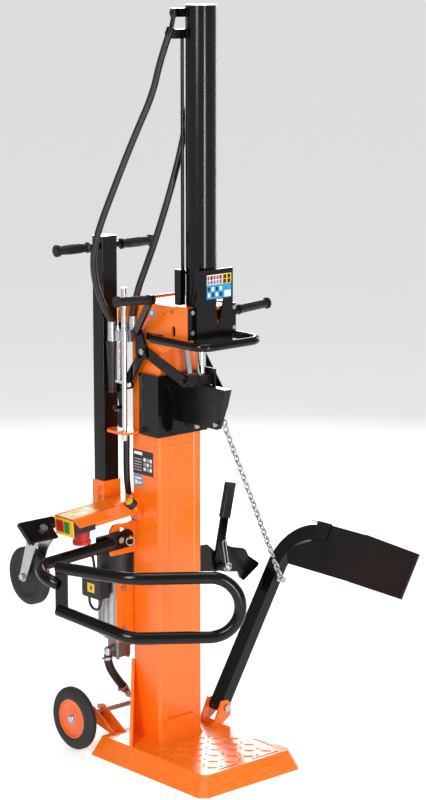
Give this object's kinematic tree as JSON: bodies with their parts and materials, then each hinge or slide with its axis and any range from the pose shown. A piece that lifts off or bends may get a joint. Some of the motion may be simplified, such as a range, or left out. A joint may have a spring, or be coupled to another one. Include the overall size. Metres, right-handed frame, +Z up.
{
  "type": "log splitter",
  "caption": "Upright hydraulic log splitter with a ram-driven wedge on a square column, hand levers, side guard, log lifter and transport wheels.",
  "frame": {"origin": "on the floor, under the centre of the square column", "axes": "+Z up; -Y towards the working front, where the log stands; +X to the right seen from the front"},
  "size_m": [1.1014, 0.922, 2.4],
  "materials": {
    "orange_paint": "gloss orange paint",
    "black_paint": "gloss black paint",
    "chrome": "hard chrome",
    "zinc": "bright zinc plate",
    "motor_alloy": "cast and extruded aluminium, satin",
    "pump_alloy": "cast aluminium, dull",
    "hose_rubber": "ribbed black rubber cover",
    "grip_rubber": "satin black rubber",
    "tyre_rubber": "matt black solid rubber",
    "wheel_paint": "gloss orange paint",
    "cable_pvc": "black PVC sheath",
    "black_plastic": "moulded black plastic",
    "pad_plastic": "dark wear-resistant plastic",
    "red_plastic": "moulded red plastic",
    "green_plastic": "moulded green plastic",
    "knob_plastic": "moulded black plastic"
  },
  "bodies": {
    "frame": {"base_plate": "orange_paint", "caster_bracket": "black_paint", "column": "orange_paint", "cylinder_bracket": "black_paint", "cylinder_tube": "black_paint", "frame_brackets": "orange_paint", "frame_hardware": "zinc", "handle_grips": "grip_rubber", "handle_socket": "orange_paint", "handle_tube": "black_paint", "head_plates": "orange_paint", "hose_fittings": "zinc", "hose_one": "hose_rubber", "hose_pressure": "hose_rubber", "hose_suction": "hose_rubber", "hose_two": "hose_rubber", "lead_loop": "cable_pvc", "lead_switch": "cable_pvc", "lock_bracket": "black_paint", "motor_case": "motor_alloy", "motor_covers": "black_plastic", "pipe_and_manifold": "black_paint", "plug_inlet": "red_plastic", "port_blocks": "black_paint", "pump_body": "pump_alloy", "support_arm": "orange_paint", "switch_box": "black_plastic", "upper_guard_ring": "black_paint", "valve_block": "zinc", "valve_boot": "grip_rubber", "valve_bracket": "orange_paint"},
    "carriage": {"piston_rod": "chrome", "carriage": "black_paint", "slide_pads": "pad_plastic", "wedge": "black_paint", "wedge_fittings": "zinc"},
    "chain": {"chain_links": "zinc"},
    "lifter": {"lifter_arm": "black_paint", "lifter_platform": "black_paint", "chain_hook": "zinc"},
    "lever_left": {"lever_left": "black_paint", "lever_left_grip": "grip_rubber"},
    "lever_right": {"lever_right": "black_paint", "lever_right_grip": "grip_rubber"},
    "valve_link": {"valve_link": "black_paint", "valve_rods": "chrome"},
    "guard": {"guard_loop": "black_paint", "guard_ring_pin": "zinc"},
    "lock_lever": {"lock_lever": "black_paint", "lock_grip": "grip_rubber"},
    "caster_fork": {"caster_fork": "zinc"},
    "caster_wheel": {"caster_wheel": "tyre_rubber"},
    "wheel_left": {"wheel_left": "wheel_paint"},
    "wheel_right": {"wheel_right": "wheel_paint"},
    "start_button": {"start_button": "green_plastic"},
    "stop_button": {"stop_button": "red_plastic"},
    "motor_rotor": {"motor_rotor": "pump_alloy"},
    "pump_gear": {"pump_gear": "pump_alloy"},
    "clamp_knob": {"clamp_knob": "knob_plastic"}
  },
  "joints": [
    {"name": "wedge_slide", "type": "slide", "parent": "frame", "child": "carriage", "axis": [0, 0, 1], "range_m": [-0.85, 0]},
    {"name": "chain_swing", "type": "hinge", "parent": "carriage", "child": "chain", "pos_m": [0.024, -0.248, 1.114], "axis": [0, 1, 0], "range_deg": [-48, 0]},
    {"name": "lifter_swing", "type": "hinge", "parent": "frame", "child": "lifter", "pos_m": [0.203, -0.022, 0.112], "axis": [0, 1, 0], "range_deg": [0, 60]},
    {"name": "lever_left_swing", "type": "hinge", "parent": "frame", "child": "lever_left", "pos_m": [-0.11, -0.022, 1.335], "axis": [1, 0, 0], "range_deg": [0, 14], "stiffness_Nm_per_rad": 8, "springref_deg": -17.19},
    {"name": "valve_link_slide", "type": "slide", "parent": "frame", "child": "valve_link", "axis": [0, 0, 1], "range_m": [0, 0.026]},
    {"name": "lever_right_swing", "type": "hinge", "parent": "frame", "child": "lever_right", "pos_m": [0.11, -0.022, 1.335], "axis": [1, 0, 0], "range_deg": [-14, 0]},
    {"name": "guard_fold", "type": "hinge", "parent": "frame", "child": "guard", "pos_m": [-0.157, 0.05, 0.725], "axis": [0, -1, 0], "range_deg": [0, 60]},
    {"name": "lock_lever_swing", "type": "hinge", "parent": "frame", "child": "lock_lever", "pos_m": [0.262, 0.028, 0.569], "axis": [0, -1, 0], "range_deg": [0, 20]},
    {"name": "caster_swivel", "type": "hinge", "parent": "frame", "child": "caster_fork", "pos_m": [-0.424, 0.101, 0.791], "axis": [0, -0.628, 0.7782], "continuous": true},
    {"name": "caster_spin", "type": "hinge", "parent": "caster_fork", "child": "caster_wheel", "pos_m": [-0.424, 0.16741, 0.63385], "axis": [1, 0, 0], "continuous": true},
    {"name": "wheel_left_spin", "type": "hinge", "parent": "frame", "child": "wheel_left", "pos_m": [-0.222, 0.206, 0.107], "axis": [1, 0, 0], "continuous": true},
    {"name": "wheel_right_spin", "type": "hinge", "parent": "frame", "child": "wheel_right", "pos_m": [0.222, 0.206, 0.107], "axis": [1, 0, 0], "continuous": true},
    {"name": "start_button_press", "type": "slide", "parent": "frame", "child": "start_button", "axis": [0.9973, 0, 0.0732], "range_m": [0, 0.004], "stiffness_N_per_m": 300, "springref_m": -0.003},
    {"name": "stop_button_press", "type": "slide", "parent": "frame", "child": "stop_button", "axis": [0.9973, 0, 0.0732], "range_m": [0, 0.004], "stiffness_N_per_m": 300, "springref_m": -0.003},
    {"name": "motor_spin", "type": "hinge", "parent": "frame", "child": "motor_rotor", "pos_m": [-0.09, 0.146, 0.4], "axis": [0, 0, 1], "continuous": true},
    {"name": "pump_gear_spin", "type": "hinge", "parent": "frame", "child": "pump_gear", "pos_m": [-0.072, 0.146, 0.33], "axis": [0, 0, 1], "continuous": true},
    {"name": "knob_turn", "type": "hinge", "parent": "frame", "child": "clamp_knob", "pos_m": [-0.1375, 0.004, 0.8425], "axis": [-0.7071, 0, 0.7071], "continuous": true}
  ],
  "couplings": [
    {"joint": "chain_swing", "follows": "wedge_slide", "rad_per_m": 0.9651},
    {"joint": "lifter_swing", "follows": "wedge_slide", "rad_per_m": -1.2032},
    {"joint": "valve_link_slide", "follows": "lever_left_swing", "m_per_rad": 0.104},
    {"joint": "pump_gear_spin", "follows": "motor_spin", "ratio": -1}
  ]
}
